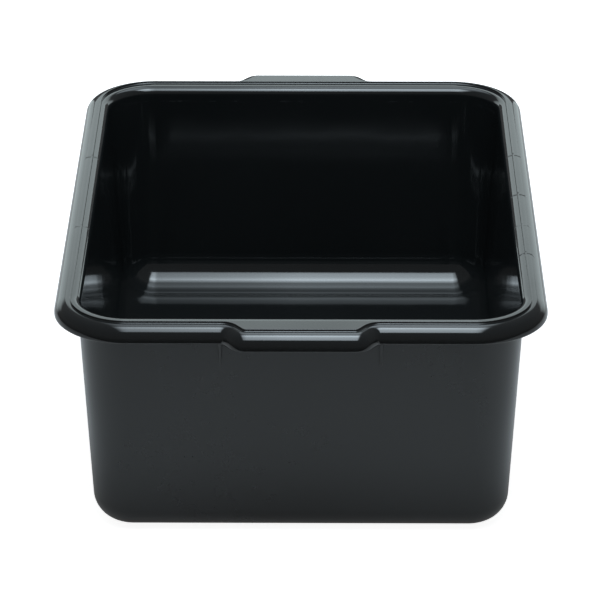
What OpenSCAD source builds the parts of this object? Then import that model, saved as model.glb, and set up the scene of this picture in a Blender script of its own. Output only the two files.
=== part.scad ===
// Heavy-duty moulded tub: one open box with drafted walls, a seat for a lid inside its
// downturned rolled rim, and a hand grip where the rim steps out at each end.
// The tub stands on z = 0, centred on the origin, with its length along Y.

/* [Overall] */
// Width across the side rims
rim_width = 370; // [320:1:440]
// Length across the end rims, without the two grips
rim_length = 506; // [440:1:620]
// Height from the floor it stands on to the top of the rim
tub_height = 188; // [150:1:220]

/* [Walls and floor] */
// Thickness of the four walls and of the rim sheet
wall_thickness = 3; // [2.5:0.1:3.4]
// Thickness of the floor
floor_thickness = 3.2; // [2.5:0.1:5]
// Height of the floor's underside above the foot ring
floor_rise = 4.2; // [2:0.1:5]
// Width of the level foot ring that the tub stands on
foot_width = 3; // [2:0.1:6]
// Lean of every wall from the vertical, in degrees
draft_angle = 3; // [1.5:0.1:3.5]
// Inner radius where the walls run into the floor
floor_fillet = 28; // [16:0.5:28]
// Outer radius round the foot of the walls
foot_radius = 22; // [14:0.5:26]

/* [Rim] */
// Corner radius of the rim, seen from above
rim_corner_radius = 57; // [56:0.5:72]
// Radius of the rolled outer bead
bead_radius = 10.4; // [9:0.1:10.7]
// Level land between the ridge and the round of the bead
bead_land = 1.6; // [0.6:0.1:2.4]
// Height of the rim from its top to the lower edge of its skirt
rim_depth = 13.6; // [13.3:0.1:20]
// Rounding of the skirt's lower edge
skirt_edge_radius = 1.2; // [0.5:0.1:1.2]
// Width of the raised ridge between the bead and the lid seat
ridge_width = 1.2; // [1:0.1:2.5]
// Height of the ridge above the bead
ridge_over_bead = 1.6; // [0.8:0.1:1.7]
// Depth of the lid seat below the ridge
seat_depth = 1.8; // [1:0.1:2.2]
// Width of the lid seat along the sides, to the face of the wall
seat_width = 6.7; // [6.6:0.1:9]
// Extra width of the lid seat along the two ends
end_seat_extra = 4.7; // [2:0.1:8]
// Radius where the lid seat rolls down into the wall
seat_roll_radius = 6.3; // [4.5:0.1:6.3]

/* [Hand grips] */
// How far each grip stands out from the end rim
grip_reach = 13.6; // [9:0.1:18]
// Length of the straight part of a grip
grip_length = 80; // [60:1:120]
// Inner radius of the bend at the ends of the straight part
grip_end_bend = 3.4; // [2:0.1:4]
// Outer radius of the bend where the rim starts to turn out
grip_root_bend = 3; // [2:0.1:3.5]

/* [Ribs under the rim] */
// Thickness of each rib
rib_thickness = 2; // [1.5:0.1:3]
// How far a rib runs down the wall below the skirt
rib_drop = 29; // [8:0.5:30]
// Distance from the bend of the grip out to the rib
rib_clearance = 8; // [4:0.5:20]

/* [Hidden] */
$fn = 96;
plastic = [0.16, 0.17, 0.18];
// Overlap that joins touching faces
bond = 0.5;
// Overlap of the rim's sheet and the wall's flange
flange_lap = 0.1;
// How far a corner's fill or cut reaches past the corner, as a share of its depth
fill_lap = 0.05;
cut_lap = 0.3;

// Heights of the rim's surfaces
seat_z = tub_height - seat_depth;
deck_under_z = seat_z - wall_thickness;
bead_top_z = tub_height - ridge_over_bead;
bead_axis_z = bead_top_z - bead_radius;
skirt_z = tub_height - rim_depth;
// Radius under the bead, which keeps the rolled sheet's underside level with the deck's
bead_under_radius = deck_under_z - bead_axis_z;

// Corner centres of the rim, seen from above
rim_x = rim_width / 2 - rim_corner_radius;
rim_y = rim_length / 2 - rim_corner_radius;
// Distance from the ridge's outer edge to the outer face of the skirt
bead_width = bead_radius + bead_land;
// Corner radii of the ridge's two edges
ridge_out_r = rim_corner_radius - bead_width;
ridge_in_r = ridge_out_r - ridge_width;

// The walls turn about their own corner centres, set in by the wider end seats
wall_x = rim_x;
wall_y = rim_y - end_seat_extra;
lean = tan(draft_angle);
// Corner radii of the wall's faces: inside at the seat, then at the level asked for
inner_top_r = ridge_in_r - seat_width;
function inner_r(z) = inner_top_r - (seat_z - z) * lean;
function outer_r(z) = inner_r(z) + wall_thickness / cos(draft_angle);
// Height of the floor inside
floor_z = floor_rise + floor_thickness;
// Corner radius of the foot ring's inner edge, where the round of the foot ends less the ring
foot_in_r = outer_r(0) - foot_radius * tan(45 - draft_angle / 2) - foot_width;
// The seat's flange runs out from the wall to under the ridge
flange_r = ridge_in_r - bond;

// Bends of the ridge line at a grip, which slopes out 4 for every 3 along the rim
grip_turn = atan2(4, 3);
grip_root_r = grip_root_bend + bead_width;
grip_straight = (grip_reach - (grip_root_r + grip_end_bend) * (1 - cos(grip_turn))) / sin(grip_turn);
grip_run = (grip_root_r + grip_end_bend) * sin(grip_turn) + grip_straight * cos(grip_turn);
grip_half = grip_length / 2;
grip_root_x = grip_half + grip_run;
// Y of the straight ridge line on an end
ridge_y = rim_length / 2 - bead_width;

// Unit vector at an angle
function dir(a) = [cos(a), sin(a)];
// Centre of a circle of radius r that touches both edges leaving corner v at angles a and b
function touch_centre(v, a, b, r) = v + (dir(a) + dir(b)) / norm(dir(a) + dir(b)) * r / sin(abs(b - a) / 2);
function touch_point(v, a, b, r) = v + dir(a) * r / tan(abs(b - a) / 2);

// The sliver between corner v and the circle that touches its two edges
module corner_sliver(v, a, b, r, lap) {
    c = touch_centre(v, a, b, r);
    tip = v + (v - c) * lap;
    difference() {
        polygon([tip, touch_point(v, a, b, r), c, touch_point(v, b, a, r)]);
        translate(c)
            circle(r);
    }
}

// Cross-section of floor, wall and lid seat: X is the distance from the corner centre
module wall_section() {
    foot = [outer_r(0), 0];
    shoulder = [outer_r(deck_under_z), deck_under_z];
    roll = [inner_r(seat_z), seat_z];
    cove = [inner_r(floor_z), floor_z];
    up = 90 - draft_angle;
    down = -90 - draft_angle;
    difference() {
        union() {
            polygon([[0, floor_rise], [foot_in_r, floor_rise], [foot_in_r, 0], foot, shoulder,
                     [flange_r, deck_under_z], [flange_r, seat_z], roll, cove, [0, floor_z]]);
            corner_sliver(cove, up, 180, floor_fillet, fill_lap);
            corner_sliver(shoulder, down, 0, seat_roll_radius - wall_thickness, fill_lap);
        }
        corner_sliver(foot, up, 180, foot_radius, cut_lap);
        corner_sliver(roll, down, 0, seat_roll_radius, cut_lap);
    }
}

// Cross-section of the rolled bead and its skirt: X runs out from the ridge line
module bead_section() {
    difference() {
        union() {
            translate([bead_land, bead_axis_z])
                intersection() {
                    circle(bead_radius);
                    square(bead_radius);
                }
            translate([0, deck_under_z])
                square([bead_land, bead_top_z - deck_under_z]);
            translate([bead_land, skirt_z])
                square([bead_radius, bead_axis_z - skirt_z]);
        }
        translate([bead_land, bead_axis_z])
            circle(bead_under_radius);
        translate([bead_land - bond, skirt_z - bond])
            square([bead_under_radius + bond, bead_axis_z - skirt_z + bond]);
        corner_sliver([bead_width, skirt_z], 90, 180, skirt_edge_radius, cut_lap);
        corner_sliver([bead_land + bead_under_radius, skirt_z], 90, 0, skirt_edge_radius, cut_lap);
    }
}

// A section swept straight along X for a length, facing +Y
module along_x(length) {
    rotate([90, 0, 90])
        linear_extrude(length)
            children();
}

// A ring of four quarter turns about the corner centres and the straights between them
module sweep_corners(x, y) {
    for (side = [0, 1], end = [0, 1])
        mirror([side, 0, 0])
            mirror([0, end, 0])
                translate([x, y, 0])
                    rotate_extrude(angle = 90)
                        children();
}

module sweep_sides(x, y) {
    for (side = [0, 1])
        mirror([side, 0, 0])
            translate([x, y, 0])
                rotate([90, 0, 0])
                    linear_extrude(2 * y)
                        children();
}

module sweep_ends(x, y) {
    for (end = [0, 1])
        mirror([0, end, 0])
            translate([-x, y, 0])
                along_x(2 * x)
                    children();
}

// Rectangle with round corners, from its corner centres and corner radius
module round_rect(x, y, r) {
    square([2 * x, 2 * (y + r)], center = true);
    square([2 * (x + r), 2 * y], center = true);
    for (sx = [-1, 1], sy = [-1, 1])
        translate([sx * x, sy * y])
            circle(r);
}

// Floor and four walls, up to the lid seat
module walls() {
    sweep_corners(wall_x, wall_y)
        wall_section();
    sweep_sides(wall_x, wall_y)
        wall_section();
    sweep_ends(wall_x, wall_y)
        wall_section();
    translate([-wall_x, -wall_y, floor_rise])
        cube([2 * wall_x, 2 * wall_y, floor_thickness]);
}

// The level sheet that carries the lid seat out to the ridge
module seat_deck() {
    translate([0, 0, deck_under_z])
        linear_extrude(wall_thickness)
            difference() {
                round_rect(rim_x, rim_y, ridge_in_r);
                round_rect(wall_x, wall_y, flange_r - flange_lap);
            }
}

// Outline of a grip's raised ledge, out to the ridge line where the rim turns out
module grip_ledge_outline() {
    lower = [grip_root_x - grip_root_r * sin(grip_turn), grip_root_r * (1 - cos(grip_turn))];
    corner = [grip_half + grip_end_bend * tan(grip_turn / 2), grip_reach];
    difference() {
        polygon([[-grip_root_x, -ridge_width], [-grip_root_x, 0], [-lower.x, lower.y], [-corner.x, corner.y],
                 corner, lower, [grip_root_x, 0], [grip_root_x, -ridge_width]]);
        for (side = [-1, 1])
            translate([side * grip_root_x, grip_root_r])
                circle(grip_root_r);
        corner_sliver(corner, -grip_turn, -180, grip_end_bend, cut_lap);
        mirror([1, 0])
            corner_sliver(corner, -grip_turn, -180, grip_end_bend, cut_lap);
    }
}

// Raised ridge all round, with the grips' ledges
module ridge() {
    translate([0, 0, deck_under_z])
        linear_extrude(tub_height - deck_under_z)
            difference() {
                union() {
                    round_rect(rim_x, rim_y, ridge_out_r);
                    for (end = [0, 1])
                        mirror([0, end])
                            translate([0, ridge_y])
                                grip_ledge_outline();
                }
                round_rect(rim_x, rim_y, ridge_in_r);
            }
}

// A bend of the bead about the origin, from one angle to another, reaching out to a radius
module bead_bend(from, to, reach) {
    intersection() {
        rotate_extrude()
            children();
        translate([0, 0, skirt_z - bond])
            linear_extrude(rim_depth + 2 * bond)
                polygon([[0, 0], 2 * reach * dir(from), 2 * reach * dir(to)]);
    }
}

// One side of an end's bead, from the corner's end: in to the grip and out round its bends
module end_bead_side() {
    slope_start = [grip_root_x - grip_root_r * sin(grip_turn), grip_root_r * (1 - cos(grip_turn))];
    slope_end = slope_start + grip_straight * [-cos(grip_turn), sin(grip_turn)];
    translate([grip_root_x, 0, 0])
        along_x(rim_x - grip_root_x)
            bead_section();
    translate([grip_root_x, grip_root_r, 0])
        bead_bend(-90 - grip_turn, -90, grip_root_r)
            translate([grip_root_r, 0])
                mirror([1, 0])
                    bead_section();
    translate([slope_end.x, slope_end.y, 0])
        rotate([0, 0, -grip_turn])
            along_x(grip_straight)
                bead_section();
    translate([grip_half, grip_reach - grip_end_bend, 0])
        bead_bend(90 - grip_turn, 90, grip_end_bend + bead_width)
            translate([grip_end_bend, 0])
                bead_section();
}

// Rolled outer bead with its downturned skirt
module bead() {
    sweep_corners(rim_x, rim_y)
        translate([ridge_out_r, 0])
            bead_section();
    sweep_sides(rim_x, rim_y)
        translate([ridge_out_r, 0])
            bead_section();
    for (end = [0, 1])
        mirror([0, end, 0])
            translate([0, ridge_y, 0]) {
                for (side = [0, 1])
                    mirror([side, 0, 0])
                        end_bead_side();
                translate([-grip_half, grip_reach, 0])
                    along_x(grip_length)
                        bead_section();
            }
}

// Ribs that tie the wall to the deck beside each grip
module ribs() {
    top_y = ridge_y + bead_land;
    wall_top_y = wall_y + outer_r(deck_under_z);
    tip_z = skirt_z - rib_drop;
    tip_y = wall_y + outer_r(tip_z);
    for (side = [-1, 1], end = [0, 1])
        mirror([0, end, 0])
            translate([side * (grip_root_x + rib_clearance) - rib_thickness / 2, 0, 0])
                along_x(rib_thickness)
                    polygon([[tip_y - bond, tip_z], [tip_y, tip_z], [top_y, deck_under_z],
                             [top_y, deck_under_z + bond], [wall_top_y - bond, deck_under_z + bond]]);
}

module tub() {
    color(plastic) {
        walls();
        seat_deck();
        ridge();
        bead();
        ribs();
    }
}

tub();
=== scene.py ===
"""Mixing tub: one glossy black moulding with a rolled rim, standing on a pale studio table."""

import logging
import math
from dataclasses import dataclass
from enum import Enum
from typing import Any, Sequence

import bpy
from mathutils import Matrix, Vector


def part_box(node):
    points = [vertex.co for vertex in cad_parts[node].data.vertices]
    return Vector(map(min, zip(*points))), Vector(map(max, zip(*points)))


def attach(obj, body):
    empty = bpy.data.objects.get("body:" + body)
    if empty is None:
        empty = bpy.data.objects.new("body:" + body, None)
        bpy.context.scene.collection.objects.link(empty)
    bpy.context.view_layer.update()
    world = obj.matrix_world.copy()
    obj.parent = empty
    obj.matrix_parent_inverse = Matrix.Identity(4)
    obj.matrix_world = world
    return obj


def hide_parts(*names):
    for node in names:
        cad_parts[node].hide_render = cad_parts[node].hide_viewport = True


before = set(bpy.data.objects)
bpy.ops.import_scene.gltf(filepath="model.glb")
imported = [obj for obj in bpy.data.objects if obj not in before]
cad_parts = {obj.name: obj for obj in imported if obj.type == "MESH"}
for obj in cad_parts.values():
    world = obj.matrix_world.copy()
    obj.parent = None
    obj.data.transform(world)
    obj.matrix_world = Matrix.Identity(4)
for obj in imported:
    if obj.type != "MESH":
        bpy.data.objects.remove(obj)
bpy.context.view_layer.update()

log = logging.getLogger("mixing_tub")
MM = 0.001
CM3 = 1e-6
NODE = "tub"
BODY = "root"

Triple = tuple[float, float, float]
# Levels along a line, each with its place on the line.
Levels = Sequence[tuple[float, float]]


class Zone(Enum):
    """Which finish a stretch of the tub's skin has."""

    INSIDE = 0.0
    RIM = 1.0
    OUTSIDE = 2.0


# ---------------------------------------------------------------- node graphs


class Wire:
    """An output socket on which Python's operators add Math nodes."""

    def __init__(self, graph: "Graph", socket: bpy.types.NodeSocket) -> None:
        """Wraps a socket of a graph."""
        self.graph = graph
        self.socket = socket

    def __add__(self, other: Any) -> "Wire":
        """self + other."""
        return self.graph.maths("ADD", self, other)

    __radd__ = __add__

    def __sub__(self, other: Any) -> "Wire":
        """self - other."""
        return self.graph.maths("SUBTRACT", self, other)

    def __rsub__(self, other: Any) -> "Wire":
        """other - self."""
        return self.graph.maths("SUBTRACT", other, self)

    def __mul__(self, other: Any) -> "Wire":
        """self * other."""
        return self.graph.maths("MULTIPLY", self, other)

    __rmul__ = __mul__

    def __truediv__(self, other: Any) -> "Wire":
        """self / other."""
        return self.graph.maths("DIVIDE", self, other)

    def __mod__(self, other: Any) -> "Wire":
        """self modulo other."""
        return self.graph.maths("FLOORED_MODULO", self, other)

    def __gt__(self, other: Any) -> "Wire":
        """1 where self is greater than other, else 0."""
        return self.graph.maths("GREATER_THAN", self, other)

    def __abs__(self) -> "Wire":
        """self without its sign."""
        return self.graph.maths("ABSOLUTE", self)


class Graph:
    """Adds nodes to one node tree."""

    # A Mix node's two inputs and its output, by what it mixes.
    MIX_SOCKETS = {"VECTOR": (4, 5, 1), "RGBA": (6, 7, 2)}

    def __init__(self, tree: bpy.types.NodeTree) -> None:
        """Wraps a node tree."""
        self.tree = tree

    def feed(self, socket: bpy.types.NodeSocket, value: Any) -> None:
        """Links a wire or socket into a socket, or sets the socket's own value.

        Args:
            socket: the input to feed.
            value: a Wire, a socket, or a plain value.
        """
        if isinstance(value, Wire):
            value = value.socket
        if isinstance(value, bpy.types.NodeSocket):
            self.tree.links.new(value, socket)
        else:
            socket.default_value = value

    def node(self, kind: str, settings: dict | None = None,
             sockets: dict | None = None) -> bpy.types.Node:
        """Adds a node.

        Args:
            kind: the node's type.
            settings: its own settings, where stops are a colour ramp's places and levels.
            sockets: values or links of its inputs, by name or by number.

        Returns:
            The new node.
        """
        made = self.tree.nodes.new(kind)
        for name, value in (settings or {}).items():
            if name == "stops":
                self._set_stops(made.color_ramp, value)
            else:
                setattr(made, name, value)
        for key, value in (sockets or {}).items():
            self.feed(made.inputs[key], value)
        return made

    @staticmethod
    def _set_stops(ramp: bpy.types.ColorRamp, stops: Levels) -> None:
        """Gives a colour ramp its stops.

        Args:
            ramp: the ramp, with no more stops than it gets.
            stops: the place and the grey level of each stop.
        """
        while len(ramp.elements) < len(stops):
            ramp.elements.new(1.0)
        for element, (place, level) in zip(ramp.elements, stops):
            element.position = place
            element.color = (level, level, level, 1.0)

    def wire(self, kind: str, settings: dict | None = None, sockets: dict | None = None,
             out: Any = 0) -> Wire:
        """Adds a node and wraps one of its outputs."""
        return Wire(self, self.node(kind, settings, sockets).outputs[out])

    def maths(self, operation: str, *terms: Any) -> Wire:
        """A Math node over the terms."""
        return self.wire("ShaderNodeMath", {"operation": operation}, dict(enumerate(terms)))

    def vector(self, operation: str, *terms: Any) -> Wire:
        """A Vector Math node over the terms."""
        return self.wire("ShaderNodeVectorMath", {"operation": operation}, dict(enumerate(terms)))

    def scaled(self, vector: Any, factor: Any) -> Wire:
        """A vector or a colour times a number."""
        return self.wire("ShaderNodeVectorMath", {"operation": "SCALE"}, {0: vector, "Scale": factor})

    def join(self, x: Any = 0.0, y: Any = 0.0, z: Any = 0.0) -> Wire:
        """The vector of three numbers."""
        return self.wire("ShaderNodeCombineXYZ", sockets={"X": x, "Y": y, "Z": z})

    def split(self, vector: Any) -> list[Wire]:
        """The three numbers of a vector."""
        return [Wire(self, s) for s in self.node("ShaderNodeSeparateXYZ", sockets={0: vector}).outputs]

    def mix(self, kind: str, factor: Any, first: Any, second: Any) -> Wire:
        """The first vector or colour at factor 0, and the second at factor 1."""
        a, b, out = self.MIX_SOCKETS[kind]
        return self.wire("ShaderNodeMix", {"data_type": kind}, {"Factor": factor, a: first, b: second}, out)

    def clamp(self, value: Any) -> Wire:
        """The value held between 0 and 1."""
        return self.maths("MINIMUM", self.maths("MAXIMUM", value, 0.0), 1.0)

    def rise(self, value: Wire, start: float, width: float) -> Wire:
        """0 up to the start, then straight up to 1 over the width."""
        return self.clamp((value - start) / width)


def start_tree(name: str, takes: str, inputs: dict[str, str], gives: str) -> tuple[Graph, dict[str, str]]:
    """Starts a geometry node tree with named inputs.

    Args:
        name: the tree's name.
        takes: the name of its geometry input.
        inputs: the socket types of its other inputs, by name.
        gives: the name of its geometry output.

    Returns:
        The tree's graph, and the identifiers of its other inputs by name.
    """
    tree = bpy.data.node_groups.new(name, "GeometryNodeTree")
    face = tree.interface
    face.new_socket(takes, in_out="INPUT", socket_type="NodeSocketGeometry")
    keys = {n: face.new_socket(n, in_out="INPUT", socket_type=kind).identifier
            for n, kind in inputs.items()}
    face.new_socket(gives, in_out="OUTPUT", socket_type="NodeSocketGeometry")
    return Graph(tree), keys


def end_tree(g: Graph, geometry: Wire, finish: bpy.types.NodeSocket) -> None:
    """Ends a geometry node tree with real meshes that carry their material.

    Args:
        g: the tree's graph.
        geometry: what the tree made.
        finish: its material input.
    """
    whole = g.wire("GeometryNodeRealizeInstances", sockets={"Geometry": geometry})
    dressed = g.wire("GeometryNodeSetMaterial", sockets={"Geometry": whole, "Material": finish})
    g.node("NodeGroupOutput", sockets={0: dressed})


def run_tree(made: bpy.types.Object, g: Graph, keys: dict[str, str], values: dict[str, Any]) -> None:
    """Runs a geometry node tree on an object, and leaves its outcome as the object's plain mesh.

    Args:
        made: the object, whose other modifiers run first.
        g: the tree's graph.
        keys: the identifiers of the tree's inputs by name.
        values: the inputs' values by name.
    """
    run = made.modifiers.new(g.tree.name, "NODES")
    run.node_group = g.tree
    for name, value in values.items():
        run[keys[name]] = value
    bpy.context.view_layer.update()
    graph = bpy.context.evaluated_depsgraph_get()
    plain = bpy.data.meshes.new_from_object(
        made.evaluated_get(graph), preserve_all_data_layers=True, depsgraph=graph)
    made.modifiers.clear()
    made.data = plain
    plain.name = made.name


# ---------------------------------------------------------------- outlines


@dataclass(frozen=True)
class Corner:
    """A corner of an outline, the radius that rounds it, and what the sweep does with it."""

    at: tuple[float, float]
    radius: float = 0.0
    steps: int = 1
    zone: Zone = Zone.RIM
    follows_grip: float = 0.0
    set_in: float = 0.0
    reach: float = 1.0


@dataclass(frozen=True)
class Station:
    """A point of a rounded outline: its place, the way it faces and the corner it belongs to."""

    at: Vector
    facing: Vector
    corner: Corner


def right_of(direction: Vector) -> Vector:
    """The unit vector to the right of a direction of travel."""
    return Vector((direction.y, -direction.x))


def rounded(corners: Sequence[Corner], closed: bool, hold: float) -> list[Station]:
    """Rounds an outline's corners.

    Args:
        corners: the outline's corners in order of travel. An open one's ends have no radius.
        closed: whether the last corner joins the first.
        hold: distance from an arc at which a flat gets a point, which keeps its shading flat.

    Returns:
        The stations along the outline.
    """
    places = [Vector(c.at) for c in corners]
    count = len(corners)

    def step_from(i: int) -> Vector:
        """The step from a corner to the next one."""
        return places[(i + 1) % count] - places[i % count]

    def way(i: int) -> Vector:
        """The direction of travel from a corner to the next one."""
        return step_from(i).normalized()

    def cut(i: int) -> float:
        """How much of the flats beside a corner its arc takes."""
        radius = corners[i % count].radius
        return radius / math.tan((-way(i - 1)).angle(way(i)) / 2) if radius else 0.0

    def held(i: int) -> float:
        """How far from an arc the flat that leaves a corner has its own points."""
        return min(hold, max(step_from(i).length - cut(i) - cut(i + 1), 0.0) / 3)

    stations: list[Station] = []
    for i, corner in enumerate(corners):
        if not corner.radius:
            travel = way(i if closed or i < count - 1 else i - 1)
            stations.append(Station(places[i], right_of(travel), corner))
            continue
        came, ahead = way(i - 1), way(i)
        start, stop = places[i] - came * cut(i), places[i] + ahead * cut(i)
        inward = (ahead - came).normalized()
        centre = places[i] + inward * corner.radius / math.sin((-came).angle(ahead) / 2)
        spoke = start - centre
        side = 1.0 if right_of(came).dot(spoke) > 0 else -1.0
        turn = spoke.angle_signed(stop - centre)
        stations.append(Station(start - came * held(i - 1), right_of(came), corner))
        for step in range(corner.steps + 1):
            angle = -turn * step / corner.steps
            cos, sin = math.cos(angle), math.sin(angle)
            arm = Vector((spoke.x * cos - spoke.y * sin, spoke.x * sin + spoke.y * cos))
            stations.append(Station(centre + arm, arm.normalized() * side, corner))
        stations.append(Station(stop + ahead * held(i), right_of(ahead), corner))
    return stations


def mark_points(mesh: bpy.types.Mesh, name: str, values: Sequence[Any]) -> None:
    """Stores a number or a vector for each of a mesh's points.

    Args:
        mesh: the mesh.
        name: the name of the mark.
        values: one number or one triple for each point.
    """
    if isinstance(values[0], tuple):
        mark = mesh.attributes.new(name, "FLOAT_VECTOR", "POINT")
        mark.data.foreach_set("vector", [part for value in values for part in value])
    else:
        mesh.attributes.new(name, "FLOAT", "POINT").data.foreach_set("value", values)


def station_object(name: str, stations: Sequence[Station], upright: bool) -> bpy.types.Object:
    """Makes a helper object with one point for each station, which a sweep reads.

    Args:
        name: the object's name.
        stations: the outline.
        upright: whether the outline's second coordinate is height.

    Returns:
        The object, linked to the scene.
    """
    mesh = bpy.data.meshes.new(name)
    places = [(s.at.x, 0.0, s.at.y) if upright else (s.at.x, s.at.y, 0.0) for s in stations]
    mesh.from_pydata(places, [(i, i + 1) for i in range(len(places) - 1)], [])
    mark_points(mesh, "facing", [(s.facing.x, s.facing.y, 0.0) for s in stations])
    mark_points(mesh, "follows_grip", [s.corner.follows_grip for s in stations])
    mark_points(mesh, "set_in", [s.corner.set_in for s in stations])
    mark_points(mesh, "reach", [s.corner.reach for s in stations])
    mark_points(mesh, "zone", [s.corner.zone.value for s in stations])
    made = bpy.data.objects.new(name, mesh)
    bpy.context.scene.collection.objects.link(made)
    return made


def signed_volume(mesh: bpy.types.Mesh) -> float:
    """Measures the volume that a closed mesh encloses.

    Args:
        mesh: the mesh.

    Returns:
        The volume, negative where the faces point inwards.
    """
    mesh.calc_loop_triangles()
    points = [v.co for v in mesh.vertices]
    triangles = (t.vertices for t in mesh.loop_triangles)
    return sum(points[a].dot(points[b].cross(points[c])) for a, b, c in triangles) / 6


# ---------------------------------------------------------------- the tub


@dataclass(frozen=True)
class TubSizes:
    """The moulding's sizes in metres, as the CAD model has them, with its smallest edges."""

    rim_width: float
    rim_length: float
    height: float
    wall: float = 3.0 * MM
    floor_thickness: float = 3.2 * MM
    floor_rise: float = 4.2 * MM
    foot_width: float = 3.0 * MM
    draft: float = math.radians(3.0)
    cove: float = 28.0 * MM
    foot: float = 22.0 * MM
    corner: float = 57.0 * MM
    bead: float = 10.4 * MM
    bead_land: float = 1.6 * MM
    rim_depth: float = 13.6 * MM
    skirt_edge: float = 1.2 * MM
    ridge_width: float = 1.2 * MM
    ridge_over_bead: float = 1.6 * MM
    seat_depth: float = 1.8 * MM
    seat_width: float = 6.7 * MM
    end_seat_extra: float = 4.7 * MM
    seat_roll: float = 6.3 * MM
    grip_reach: float = 13.6 * MM
    grip_half: float = 40.0 * MM
    grip_end_bend: float = 3.4 * MM
    grip_root_bend: float = 3.0 * MM
    rib_thickness: float = 2.0 * MM
    rib_drop: float = 29.0 * MM
    rib_clearance: float = 8.0 * MM
    crest_edge: float = 0.3 * MM
    ridge_foot: float = 1.1 * MM
    seat_cove: float = 1.2 * MM
    foot_edge: float = 0.6 * MM

    @property
    def floor_z(self) -> float:
        """Height of the floor inside."""
        return self.floor_rise + self.floor_thickness

    @property
    def foot_in(self) -> float:
        """Corner radius of the foot ring's inner edge."""
        return self.outer(0.0) - self.foot * math.tan(math.pi / 4 - self.draft / 2) - self.foot_width

    @property
    def seat_z(self) -> float:
        """Height of the lid seat."""
        return self.height - self.seat_depth

    @property
    def deck_z(self) -> float:
        """Height of the rim sheet's underside."""
        return self.seat_z - self.wall

    @property
    def bead_top_z(self) -> float:
        """Height of the bead's top."""
        return self.height - self.ridge_over_bead

    @property
    def skirt_z(self) -> float:
        """Height of the skirt's lower edge."""
        return self.height - self.rim_depth

    @property
    def bead_under(self) -> float:
        """Radius under the rolled bead."""
        return self.deck_z - (self.bead_top_z - self.bead)

    @property
    def bead_width(self) -> float:
        """From the ridge's outer edge to the skirt's outer face."""
        return self.bead + self.bead_land

    @property
    def ridge_out(self) -> float:
        """Corner radius of the ridge's outer edge."""
        return self.corner - self.bead_width

    @property
    def ridge_in(self) -> float:
        """Corner radius of the ridge's inner edge."""
        return self.ridge_out - self.ridge_width

    @property
    def skirt_in(self) -> float:
        """Corner radius of the skirt's inner face."""
        return self.corner - (self.bead - self.bead_under)

    @property
    def centre_x(self) -> float:
        """X of the rim's corner centres."""
        return self.rim_width / 2 - self.corner

    @property
    def centre_y(self) -> float:
        """Y of the rim's corner centres."""
        return self.rim_length / 2 - self.corner

    @property
    def wall_centre_y(self) -> float:
        """Y of the wall's corner centres."""
        return self.centre_y - self.end_seat_extra

    @property
    def ridge_y(self) -> float:
        """Y of the straight ridge line at an end."""
        return self.centre_y + self.ridge_out

    @property
    def grip_turn(self) -> float:
        """Angle through which the rim turns out to a grip, 4 out for every 3 along."""
        return math.atan2(4.0, 3.0)

    @property
    def grip_root(self) -> float:
        """Radius of the ridge line's bend where the rim starts to turn out."""
        return self.grip_root_bend + self.bead_width

    @property
    def grip_end_x(self) -> float:
        """X of the ridge line's corner at the end of a grip's straight part."""
        return self.grip_half + self.grip_end_bend * math.tan(self.grip_turn / 2)

    @property
    def grip_root_x(self) -> float:
        """X of the ridge line's corner where the rim turns out."""
        return self.grip_end_x + self.grip_reach / math.tan(self.grip_turn)

    def inner(self, z: float) -> float:
        """Corner radius of the wall's inner face at a height."""
        return self.ridge_in - self.seat_width - (self.seat_z - z) * math.tan(self.draft)

    def outer(self, z: float) -> float:
        """Corner radius of the wall's outer face at a height."""
        return self.inner(z) + self.wall / math.cos(self.draft)


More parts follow.
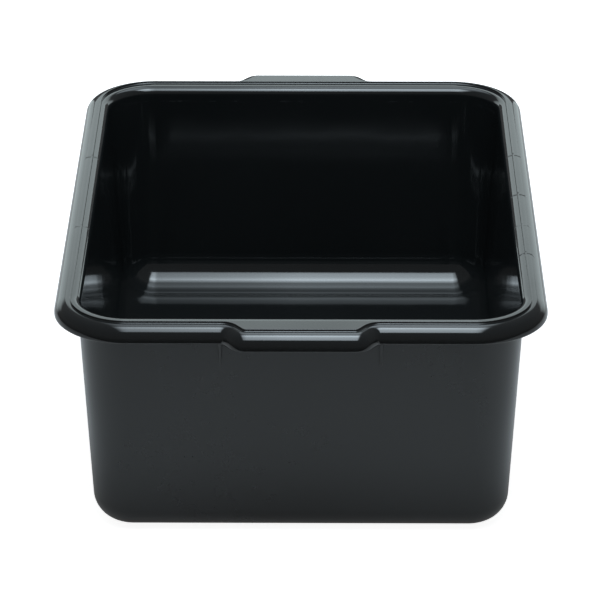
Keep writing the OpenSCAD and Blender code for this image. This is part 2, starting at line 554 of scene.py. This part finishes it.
@dataclass
class Shell:
    """The moulding's skin: one section swept round the rim's plan.

    The section's edges are finer along the sides than at the ends.
    """

    sizes: TubSizes
    finish: bpy.types.Material
    hold: float = 0.5 * MM
    corner_steps: int = 28
    bend_steps: int = 12
    end_fillet: float = 1.0
    side_fillet: float = 0.25
    join_within: float = 0.001 * MM

    def section(self, fillet: float) -> list[Corner]:
        """Draws the section from the middle of the floor, up the inside, over the rim and under.

        Args:
            fillet: share of the full radius that rounds the ridge's edges and feet.

        Returns:
            The section's corners.
        """
        s = self.sizes
        crest, seat_cove, ridge_foot = (r * fillet for r in (s.crest_edge, s.seat_cove, s.ridge_foot))
        inside = {"zone": Zone.INSIDE, "set_in": 1.0}
        outside = {"zone": Zone.OUTSIDE, "set_in": 1.0}
        turned = {"follows_grip": 1.0}
        return [
            Corner((0.0, s.floor_z), zone=Zone.INSIDE, reach=0.0),
            Corner((s.inner(s.floor_z), s.floor_z), s.cove, 24, **inside),
            Corner((s.inner(s.seat_z), s.seat_z), s.seat_roll, 12, **inside),
            Corner((s.ridge_in, s.seat_z), seat_cove, 6),
            Corner((s.ridge_in, s.height), crest, 4),
            Corner((s.ridge_out, s.height), crest, 4, **turned),
            Corner((s.ridge_out, s.bead_top_z), ridge_foot, 6, **turned),
            Corner((s.corner, s.bead_top_z), s.bead, 20, **turned),
            Corner((s.corner, s.skirt_z), s.skirt_edge, 5, **turned),
            Corner((s.skirt_in, s.skirt_z), s.skirt_edge, 5, **turned),
            Corner((s.skirt_in, s.deck_z), s.bead_under, 12, **turned),
            Corner((s.outer(s.deck_z), s.deck_z), s.seat_roll - s.wall, 6, **outside),
            Corner((s.outer(0.0), 0.0), s.foot, 18, **outside),
            Corner((s.foot_in, 0.0), s.foot_edge, 4, **outside),
            Corner((s.foot_in, s.floor_rise), s.foot_edge, 4, **outside),
            Corner((0.0, s.floor_rise), zone=Zone.OUTSIDE, reach=0.0),
        ]

    def plan(self) -> list[Corner]:
        """Draws the ridge line seen from above, anticlockwise, with its grips.

        Returns:
            The plan's corners.
        """
        s = self.sizes
        quarter = [
            ((s.centre_x + s.ridge_out, s.ridge_y), s.ridge_out, self.corner_steps),
            ((s.grip_root_x, s.ridge_y), s.grip_root, self.bend_steps),
            ((s.grip_end_x, s.ridge_y + s.grip_reach), s.grip_end_bend, self.bend_steps),
        ]
        end = quarter + [((-x, y), radius, steps) for (x, y), radius, steps in reversed(quarter)]
        return [Corner((x * turn, y * turn), radius, steps)
                for turn in (1, -1) for (x, y), radius, steps in end]

    def sweep_tree(self) -> tuple[Graph, dict[str, str]]:
        """Builds the node tree that sweeps the section round the plan.

        The section's X is a distance out from the spine, the rectangle of the corner centres, and
        its Z is height. The stretches that follow a grip keep their distance from the rim line.

        Returns:
            The tree's graph, and the identifiers of its inputs by name.
        """
        g, keys = start_tree("Sweep section round plan", "Section", {
            "Plan": "NodeSocketObject",
            "Stations": "NodeSocketInt",
            "Steps": "NodeSocketInt",
            "Corner Centre": "NodeSocketVector",
            "Ridge Radius": "NodeSocketFloat",
            "End Seat Extra": "NodeSocketFloat",
            "Finish": "NodeSocketMaterial",
        }, "Skin")
        given = g.node("NodeGroupInput").outputs
        around, along = Wire(g, given["Stations"]), Wire(g, given["Steps"])
        grid = g.wire("GeometryNodeMeshGrid", sockets={"Vertices X": around + 1, "Vertices Y": along},
                      out="Mesh")
        index = g.wire("GeometryNodeInputIndex") + 0.5
        plan = g.wire("GeometryNodeObjectInfo", sockets={"Object": given["Plan"]}, out="Geometry")
        spots = {
            "plan": (plan, g.maths("FLOOR", index / along) % around),
            "section": (given["Section"], g.maths("FLOOR", index % along)),
        }

        def read(source: str, kind: str, *marks: str) -> list[Wire]:
            """Reads marks of the plan's or the section's points.

            Args:
                source: which of the two.
                kind: the marks' data type.
                *marks: their names, where position is the point's place.

            Returns:
                Each mark's value at the grid's point.
            """
            values = []
            for mark in marks:
                value = (g.wire("GeometryNodeInputPosition") if mark == "position" else
                         g.wire("GeometryNodeInputNamedAttribute", {"data_type": kind}, {"Name": mark}))
                geometry, at = spots[source]
                values.append(g.wire("GeometryNodeSampleIndex", {"data_type": kind},
                                     {"Geometry": geometry, "Value": value, "Index": at}))
            return values

        rim_line, facing = read("plan", "FLOAT_VECTOR", "position", "facing")
        at_ends, at_sides = read("section", "FLOAT_VECTOR", "position", "along_sides")
        follows, set_in, reach, zone = read("section", "FLOAT", "follows_grip", "set_in", "reach", "zone")
        centre = Wire(g, given["Corner Centre"])
        spine = g.vector("MINIMUM", g.vector("MAXIMUM", rim_line, g.scaled(centre, -1.0)), centre)
        normal = g.vector("NORMALIZE", g.vector("SUBTRACT", rim_line, spine))
        sideways = g.split(normal)[0]
        out, _, up = g.split(g.mix("VECTOR", sideways * sideways, at_ends, at_sides))
        squeeze = 1.0 - set_in * Wire(g, given["End Seat Extra"]) / g.split(centre)[1]
        footing = g.vector("MULTIPLY", spine, g.join(reach, reach * squeeze))
        straight = g.vector("ADD", footing, g.scaled(normal, out))
        past = out - Wire(g, given["Ridge Radius"])
        turned = g.vector("ADD", rim_line, g.scaled(facing, past))
        place = g.vector("ADD", g.mix("VECTOR", follows, straight, turned), g.join(z=up))
        moved = g.wire("GeometryNodeSetPosition", sockets={"Geometry": grid, "Position": place})
        marked = g.wire("GeometryNodeStoreNamedAttribute", {"data_type": "FLOAT", "domain": "POINT"},
                        {"Geometry": moved, "Name": "zone", "Value": zone})
        closed = g.wire("GeometryNodeMergeByDistance",
                        sockets={"Geometry": marked, "Distance": self.join_within})
        smooth = g.wire("GeometryNodeSetShadeSmooth", sockets={"Geometry": closed})
        end_tree(g, smooth, given["Finish"])
        return g, keys

    def build(self) -> bpy.types.Object:
        """Makes the shell.

        Returns:
            The shell, a plain closed mesh.
        """
        s = self.sizes
        at_ends, at_sides = (rounded(self.section(fillet), False, self.hold)
                             for fillet in (self.end_fillet, self.side_fillet))
        plan = rounded(self.plan(), True, self.hold)
        guide = station_object("rim_plan", plan, False)
        shell = station_object("tub_shell", at_ends, True)
        mark_points(shell.data, "along_sides", [(p.at.x, 0.0, p.at.y) for p in at_sides])
        run_tree(shell, *self.sweep_tree(), {
            "Plan": guide,
            "Stations": len(plan),
            "Steps": len(at_ends),
            "Corner Centre": (s.centre_x, s.centre_y, 0.0),
            "Ridge Radius": s.ridge_out,
            "End Seat Extra": s.end_seat_extra,
            "Finish": self.finish,
        })
        bpy.data.objects.remove(guide)
        if signed_volume(shell.data) < 0:
            shell.data.flip_normals()
        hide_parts(NODE)
        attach(shell, BODY)
        log.info("shell: %d faces, %.1f cm3", len(shell.data.polygons), signed_volume(shell.data) / CM3)
        return shell


@dataclass
class Ribs:
    """The four thin ribs that tie the end walls to the rim beside the grips."""

    sizes: TubSizes
    finish: bpy.types.Material
    sunk: float = 1.0 * MM
    edge: float = 0.3 * MM
    edge_steps: int = 2
    ends: int = 2
    per_end: int = 2

    def outline(self) -> list[tuple[float, float]]:
        """Draws a rib, sunk a little into the wall and the rim.

        Returns:
            Its corners in Y and Z.
        """
        s = self.sizes
        tip_z, root_z = s.skirt_z - s.rib_drop, s.deck_z + self.sunk
        wall_tip = s.wall_centre_y + s.outer(tip_z)
        wall_root = s.wall_centre_y + s.outer(s.deck_z)
        skin = s.ridge_y + s.bead_land
        return [(wall_tip - self.sunk, tip_z), (wall_tip, tip_z), (skin, s.deck_z), (skin, root_z),
                (wall_root - self.sunk, root_z)]

    def tree(self) -> tuple[Graph, dict[str, str]]:
        """Builds the node tree that sets copies of a rib on both sides of both grips.

        Returns:
            The tree's graph, and the identifiers of its inputs by name.
        """
        inputs = {"Offset": "NodeSocketFloat", "Finish": "NodeSocketMaterial"}
        g, keys = start_tree("Set ribs", "Rib", inputs, "Ribs")
        given = g.node("NodeGroupInput").outputs
        index = g.wire("GeometryNodeInputIndex")
        side = (index % self.per_end) * 2.0 - 1.0
        turn = g.maths("FLOOR", index / self.per_end) * math.pi
        spot = g.join(x=side * Wire(g, given["Offset"]))
        points = g.wire("GeometryNodePoints",
                        sockets={"Count": self.ends * self.per_end, "Position": spot})
        copies = g.wire("GeometryNodeInstanceOnPoints", sockets={
            "Points": points, "Instance": given["Rib"], "Rotation": g.join(z=turn)})
        end_tree(g, copies, given["Finish"])
        return g, keys

    def build(self) -> bpy.types.Object:
        """Makes the ribs.

        Returns:
            The ribs, one plain mesh.
        """
        s = self.sizes
        half = s.rib_thickness / 2
        outline = self.outline()
        count = len(outline)
        places = [(x, y, z) for x in (-half, half) for y, z in outline]
        rims = [(i, (i + 1) % count, count + (i + 1) % count, count + i) for i in range(count)]
        faces = [tuple(range(count))[::-1], tuple(range(count, 2 * count)), *rims]
        mesh = bpy.data.meshes.new("tub_ribs")
        mesh.from_pydata(places, [], faces)
        if signed_volume(mesh) < 0:
            mesh.flip_normals()
        mark_points(mesh, "zone", [Zone.OUTSIDE.value] * len(places))
        ribs = bpy.data.objects.new("tub_ribs", mesh)
        bpy.context.scene.collection.objects.link(ribs)
        edges = ribs.modifiers.new("Edges", "BEVEL")
        edges.width, edges.segments = self.edge, self.edge_steps
        run_tree(ribs, *self.tree(), {"Offset": s.grip_root_x + s.rib_clearance, "Finish": self.finish})
        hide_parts(NODE)
        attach(ribs, BODY)
        log.info("ribs: %d faces", len(ribs.data.polygons))
        return ribs


# ---------------------------------------------------------------- finish


@dataclass(frozen=True)
class Blotches:
    """Soft noise: the size of its blotches, its detail and how rough the detail is."""

    size: float
    detail: float
    roughness: float = 0.5

    def over(self, g: Graph, place: Any) -> Wire:
        """The noise at a place, about 0.5 on average."""
        sockets = {"Vector": place, "Scale": 1.0 / self.size, "Detail": self.detail,
                   "Roughness": self.roughness}
        return g.wire("ShaderNodeTexNoise", sockets=sockets, out="Fac")


@dataclass(frozen=True)
class Scratches:
    """Fine straight scratches along Y: how their axes are turned, and their length and width."""

    turn: Triple
    length: float
    width: float = 0.9 * MM
    rare: float = 0.70
    edge: float = 0.05

    def over(self, g: Graph, place: Any) -> Wire:
        """Draws the scratches.

        Args:
            g: the material's graph.
            place: the surface's position.

        Returns:
            A mask, 1 in a scratch.
        """
        lie = g.wire("ShaderNodeMapping", {"vector_type": "TEXTURE"}, {
            "Vector": place, "Rotation": self.turn, "Scale": (self.width, self.length, self.width)})
        crest = g.wire("ShaderNodeTexNoise", sockets={"Vector": lie, "Scale": 1.0, "Detail": 1.0},
                       out="Fac")
        return g.rise(crest, self.rare, self.edge)


@dataclass(frozen=True)
class Rub:
    """Patchy wear along an edge: its height and reach, where its patches start, and its strength."""

    z: float
    reach: float
    start: float
    fade: float
    strength: float

    def over(self, g: Graph, z: Wire, patches: Wire) -> Wire:
        """The wear at a height, up to its strength."""
        near = g.clamp(1.0 - abs(z - self.z) / self.reach)
        return near * g.rise(patches, self.start, self.fade) * self.strength


@dataclass(frozen=True)
class Weld:
    """A faint weld line that crosses the rim: its side, its Y, its bow and its strength."""

    side: int
    y: float
    bow: float
    strength: float


@dataclass(frozen=True)
class BlackPlastic:
    """Black moulded plastic: glossy inside and on the rim, satin outside, lightly used."""

    sizes: TubSizes
    name: str = "black moulded plastic"
    colour: Triple = (0.0082, 0.0093, 0.0097)
    rubbed: Triple = (0.045, 0.048, 0.049)
    refraction: float = 1.49
    gloss: float = 0.075
    satin: float = 0.28
    cloud_tone: float = 0.36
    cloud_roughness: float = 0.05
    fine_roughness: float = 0.03
    scratch_roughness: float = 0.16
    rub_roughness: float = 0.30
    weld_roughness: float = 0.08
    rub_paleness: float = 0.75
    scratch_paleness: float = 0.10
    scratches_outside: float = 0.35
    waviness: float = 0.16 * MM
    grain_depth: float = 0.010 * MM
    gloss_grain: float = 0.12
    scratch_depth: float = 0.004 * MM
    weld_height: float = 0.10 * MM
    weld_width: float = 0.9 * MM
    weld_depth: float = 2.0 * MM
    weld_fade: float = 4.0
    cloud: Blotches = Blotches(110 * MM, 3.0)
    fine: Blotches = Blotches(12 * MM, 4.0, 0.6)
    grain: Blotches = Blotches(0.8 * MM, 2.0)
    wave: Blotches = Blotches(45 * MM, 1.0, 0.3)
    scratches: tuple[Scratches, ...] = (
        Scratches((0.0, 0.0, math.radians(14)), 90 * MM),
        Scratches((0.0, 0.0, math.radians(-52)), 60 * MM),
        Scratches((math.radians(83), 0.0, 0.0), 50 * MM),
    )
    welds: tuple[Weld, ...] = (
        Weld(-1, 72 * MM, 3 * MM, 0.7),
        Weld(-1, -67 * MM, 2 * MM, 0.6),
        Weld(1, 77 * MM, 3 * MM, 0.9),
        Weld(1, -4 * MM, 3 * MM, 0.9),
        Weld(1, -63 * MM, 2 * MM, 0.5),
        Weld(1, -119 * MM, 4 * MM, 1.3),
    )

    @property
    def rubs(self) -> list[Rub]:
        """Where the tub is rubbed: its foot, the skirt's lower edge and the ridge's crest."""
        s = self.sizes
        return [Rub(0.0, 3.0 * MM, 0.30, 0.3, 1.0), Rub(s.skirt_z, 0.9 * MM, 0.50, 0.2, 0.5),
                Rub(s.height, 0.25 * MM, 0.52, 0.2, 0.25)]

    def weld_mask(self, g: Graph, x: Wire, y: Wire, z: Wire) -> Wire:
        """Draws the weld lines across the rim's sides, bowed like an arch.

        Args:
            g: the material's graph.
            x: the surface's X.
            y: its Y.
            z: its Z.

        Returns:
            A mask, up to each line's strength.
        """
        s = self.sizes
        inner, outer = s.centre_x + s.inner(s.seat_z), s.rim_width / 2 - s.bead / 2
        middle, half = (inner + outer) / 2, (outer - inner) / 2
        across = (abs(x) - middle) / half
        arch = 1.0 - across * across
        on_rim = g.rise(z, s.seat_z - self.weld_depth, MM) * g.clamp(arch * self.weld_fade)
        total: Any = 0.0
        for weld in self.welds:
            away = abs(y - weld.y - arch * weld.bow) / self.weld_width
            total = g.clamp(1.0 - away) * (x * weld.side > 0.0) * weld.strength + total
        return total * on_rim

    def material(self) -> bpy.types.Material:
        """Builds the material.

        Returns:
            The material, which reads the zone that is stored on a mesh's points.
        """
        made = bpy.data.materials.new(self.name)
        made.use_nodes = True
        made.node_tree.nodes.clear()
        g = Graph(made.node_tree)
        place = g.wire("ShaderNodeTexCoord", out="Object")
        x, y, z = g.split(place)
        zone = g.wire("ShaderNodeAttribute", {"attribute_name": "zone"}, out="Fac")
        outside, inside = g.clamp(zone - 1.0), g.clamp(1.0 - zone)
        cloud, fine, grain, wave = (
            noise.over(g, place) for noise in (self.cloud, self.fine, self.grain, self.wave))
        first, second, third = (family.over(g, place) for family in self.scratches)
        cuts = g.maths("MAXIMUM", g.maths("MAXIMUM", first, second), third)
        share = self.scratches_outside + (1.0 - self.scratches_outside) * inside
        scratched = cuts * g.rise(cloud, 0.42, 0.2) * share
        foot, skirt, crest = (rub.over(g, z, fine) for rub in self.rubs)
        rub = g.maths("MAXIMUM", g.maths("MAXIMUM", foot, skirt), crest)
        welds = self.weld_mask(g, x, y, z)
        tone = (1.0 - self.cloud_tone / 2) + self.cloud_tone * cloud
        paler = g.clamp(rub * self.rub_paleness + scratched * self.scratch_paleness)
        colour = g.mix("RGBA", paler, g.scaled(self.colour, tone), (*self.rubbed, 1.0))
        rough = (self.gloss + outside * (self.satin - self.gloss)
                 + (cloud - 0.5) * self.cloud_roughness + (fine - 0.5) * self.fine_roughness
                 + scratched * self.scratch_roughness + rub * self.rub_roughness
                 + welds * self.weld_roughness)
        grained = (self.gloss_grain + (1.0 - self.gloss_grain) * outside) * self.grain_depth
        height = ((wave - 0.5) * self.waviness + (grain - 0.5) * grained
                  - scratched * self.scratch_depth + welds * self.weld_height)
        bump = g.wire("ShaderNodeBump", sockets={"Strength": 1.0, "Distance": 1.0, "Height": height})
        skin = g.wire("ShaderNodeBsdfPrincipled", sockets={
            "Base Color": colour, "Roughness": g.clamp(rough), "IOR": self.refraction, "Normal": bump})
        g.node("ShaderNodeOutputMaterial", sockets={"Surface": skin})
        return made


# ---------------------------------------------------------------- studio


@dataclass(frozen=True)
class Lamp:
    """A soft rectangular lamp that the camera doesn't see.

    It faces a point. Its glow is how bright its brightest place looks, where 1 is white. For each
    axis along which it changes, falls has its levels from the axis' lower end to its upper end.
    """

    name: str
    at: Triple
    towards: Triple
    size: tuple[float, float]
    glow: float
    tint: Triple
    falls: dict[str, Levels]

    def build(self) -> bpy.types.Object:
        """Sets the lamp up.

        Returns:
            The lamp.
        """
        lamp = bpy.data.lights.new(self.name, "AREA")
        lamp.shape = "RECTANGLE"
        lamp.size, lamp.size_y = self.size
        lamp.energy = self.glow * math.pi * self.size[0] * self.size[1]
        lamp.use_nodes = True
        lamp.node_tree.nodes.clear()
        g = Graph(lamp.node_tree)
        spot = dict(zip("XYZ", g.split(g.wire("ShaderNodeNewGeometry"))))
        level: Any = 1.0
        for axis, fall in self.falls.items():
            span = self.size[0] if axis == "X" else self.size[1]
            start = self.at["XYZ".index(axis)] - span / 2
            place = (spot[axis] - start) / span
            level = g.wire("ShaderNodeValToRGB", {"stops": fall}, {"Fac": place}) * level
        shade = g.scaled(self.tint, level)
        shine = g.wire("ShaderNodeEmission", sockets={"Color": shade, "Strength": 1.0})
        g.node("ShaderNodeOutputLight", sockets={"Surface": shine})
        made = bpy.data.objects.new(self.name, lamp)
        made.location = self.at
        made.rotation_euler = (Vector(self.towards) - Vector(self.at)).to_track_quat("-Z", "Y").to_euler()
        made.visible_camera = False
        bpy.context.scene.collection.objects.link(made)
        return made


@dataclass(frozen=True)
class Studio:
    """The pale table, the lamps, the world and the camera."""

    tub_height: float
    table_half_width: float = 1.6
    table_front: float = -0.60
    table_back: float = 1.6
    table_paint: float = 0.8
    table_white: float = 0.90
    table_mirrored: float = 0.15
    surround_below: float = 0.08
    surround_above: float = 0.17
    surround_blend: float = 0.2
    lamp_tint: Triple = (0.86, 1.0, 1.09)
    card_tint: Triple = (0.86, 1.0, 1.02)
    softbox_width: float = 0.64
    softbox_height: float = 1.10
    softbox_glow: float = 12.5
    # The softbox's levels by Y, from near to far, and then across it, from left to right.
    softbox_levels: Levels = (
        (-0.72, 0.04), (-0.66, 0.40), (-0.54, 0.52), (-0.44, 0.56), (-0.32, 0.58), (-0.24, 0.62),
        (-0.16, 0.74), (-0.09, 0.84), (-0.04, 0.98), (-0.01, 1.00), (0.05, 0.66), (0.114, 0.50),
        (0.18, 0.30), (0.24, 0.15), (0.32, 0.18), (0.42, 0.22), (1.10, 0.19))
    softbox_across: Levels = (
        (0.0, 0.03), (0.06, 0.20), (0.15, 0.48), (0.25, 0.60), (0.375, 0.74), (0.47, 1.0),
        (0.58, 0.97), (0.80, 0.92), (0.90, 0.62), (1.0, 0.05))
    card_size: tuple[float, float] = (1.2, 0.64)
    card_z: float = 0.94
    card_glow: float = 1.5
    card_upright: Levels = ((0.0, 1.0), (0.5, 0.95), (0.72, 0.80), (1.0, 0.25))
    wing_size: tuple[float, float] = (1.5, 1.04)
    wing_x: float = 1.35
    wing_glow: float = 1.3
    wing_upright: Levels = ((0.0, 1.0), (0.80, 1.0), (1.0, 0.15))
    wing_outward: Levels = ((0.0, 1.0), (0.45, 1.0), (0.65, 0.80), (0.82, 0.42), (1.0, 0.0))
    lens: float = 207.5748
    camera_away: float = 2.80507
    camera_down: float = math.radians(25.12)
    camera_yaw: float = math.radians(-0.33)
    camera_left: float = 1.8243 * MM
    camera_lower: float = 1.3378 * MM

    def table(self) -> None:
        """A plain pale table top that shows white and keeps the tub's shadow."""
        mesh = bpy.data.meshes.new("studio_table")
        x, near, far = self.table_half_width, self.table_front, self.table_back
        mesh.from_pydata([(-x, near, 0), (x, near, 0), (x, far, 0), (-x, far, 0)], [], [(0, 1, 2, 3)])
        made = bpy.data.objects.new("studio_table", mesh)
        bpy.context.scene.collection.objects.link(made)
        paint = bpy.data.materials.new("pale table")
        paint.use_nodes = True
        paint.node_tree.nodes.clear()
        g = Graph(paint.node_tree)
        matt = g.wire("ShaderNodeBsdfDiffuse", sockets={"Color": (*[self.table_paint] * 3, 1.0)})
        seen, mirrored = (g.wire("ShaderNodeLightPath", out=ray)
                          for ray in ("Is Camera Ray", "Is Glossy Ray"))
        glow = seen * self.table_white + mirrored * self.table_mirrored
        white = g.wire("ShaderNodeEmission", sockets={"Color": (1, 1, 1, 1), "Strength": glow})
        both = g.wire("ShaderNodeAddShader", sockets={0: matt, 1: white})
        g.node("ShaderNodeOutputMaterial", sockets={"Surface": both})
        made.data.materials.append(paint)

    def lamps(self) -> list[Lamp]:
        """Places the lamps.

        Returns:
            The softbox over the tub, and the cards that stand at the table's far edge.
        """
        near, far = self.softbox_levels[0][0], self.softbox_levels[-1][0]
        along = [((y - near) / (far - near), level) for y, level in self.softbox_levels]
        middle, top = (near + far) / 2, self.softbox_height
        back, card_z, wing_z = self.table_back, self.card_z, self.wing_size[1] / 2
        inward = [(1.0 - place, level) for place, level in reversed(self.wing_outward)]
        lamps = [
            Lamp("overhead softbox", (0.0, middle, top), (0.0, middle, 0.0),
                 (self.softbox_width, far - near), self.softbox_glow, self.lamp_tint,
                 {"Y": along, "X": self.softbox_across}),
            Lamp("far card", (0.0, back, card_z), (0.0, 0.0, card_z), self.card_size,
                 self.card_glow, self.card_tint, {"Z": self.card_upright}),
        ]
        for side, name, fade in ((-1, "left", inward), (1, "right", self.wing_outward)):
            x = side * self.wing_x
            lamps.append(Lamp(f"{name} far card", (x, back, wing_z), (x, 0.0, wing_z),
                              self.wing_size, self.wing_glow, self.card_tint,
                              {"X": fade, "Z": self.wing_upright}))
        return lamps

    def world(self) -> None:
        """White to the camera, and otherwise a dim surround that is darker below the table."""
        world = bpy.data.worlds.new("studio")
        bpy.context.scene.world = world
        world.use_nodes = True
        world.node_tree.nodes.clear()
        g = Graph(world.node_tree)
        seen = g.wire("ShaderNodeLightPath", out="Is Camera Ray")
        height = g.split(g.wire("ShaderNodeTexCoord", out="Generated"))[2]
        dim = g.wire("ShaderNodeMapRange", sockets={
            "Value": height, "From Min": -self.surround_blend, "From Max": self.surround_blend,
            "To Min": self.surround_below, "To Max": self.surround_above})
        strength = dim * (1.0 - seen) + seen
        sky = g.wire("ShaderNodeBackground", sockets={"Color": (1, 1, 1, 1), "Strength": strength})
        g.node("ShaderNodeOutputWorld", sockets={"Surface": sky})

    def camera(self) -> None:
        """The camera, a long lens that looks down on the near end."""
        camera = bpy.data.cameras.new("camera")
        camera.sensor_width = 36.0
        camera.lens = self.lens
        camera.clip_end = 50.0
        flat, fall = math.cos(self.camera_down), -math.sin(self.camera_down)
        ahead = Vector((math.sin(self.camera_yaw) * flat, math.cos(self.camera_yaw) * flat, fall))
        right = Vector((math.cos(self.camera_yaw), -math.sin(self.camera_yaw), 0.0))
        up = right.cross(ahead)
        aim = Vector((0.0, 0.0, self.tub_height / 2)) - right * self.camera_left - up * self.camera_lower
        made = bpy.data.objects.new("camera", camera)
        made.location = aim - ahead * self.camera_away
        made.rotation_euler = ahead.to_track_quat("-Z", "Y").to_euler()
        bpy.context.scene.collection.objects.link(made)
        bpy.context.scene.camera = made

    def build(self) -> None:
        """Sets the whole studio up round the tub."""
        bpy.context.scene.view_settings.view_transform = "Standard"
        self.table()
        self.world()
        self.camera()
        for lamp in self.lamps():
            lamp.build()
        log.info("studio: table, world, camera and lamps")


def main() -> None:
    logging.basicConfig(level=logging.INFO, format="%(name)s: %(message)s")
    low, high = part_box(NODE)
    grips = 2 * TubSizes.grip_reach
    plain = TubSizes(rim_width=high.x - low.x, rim_length=high.y - low.y - grips, height=high.z)
    finish = BlackPlastic(plain).material()
    Shell(plain, finish).build()
    Ribs(plain, finish).build()
    Studio(plain.height).build()


if __name__ == "__main__":
    main()
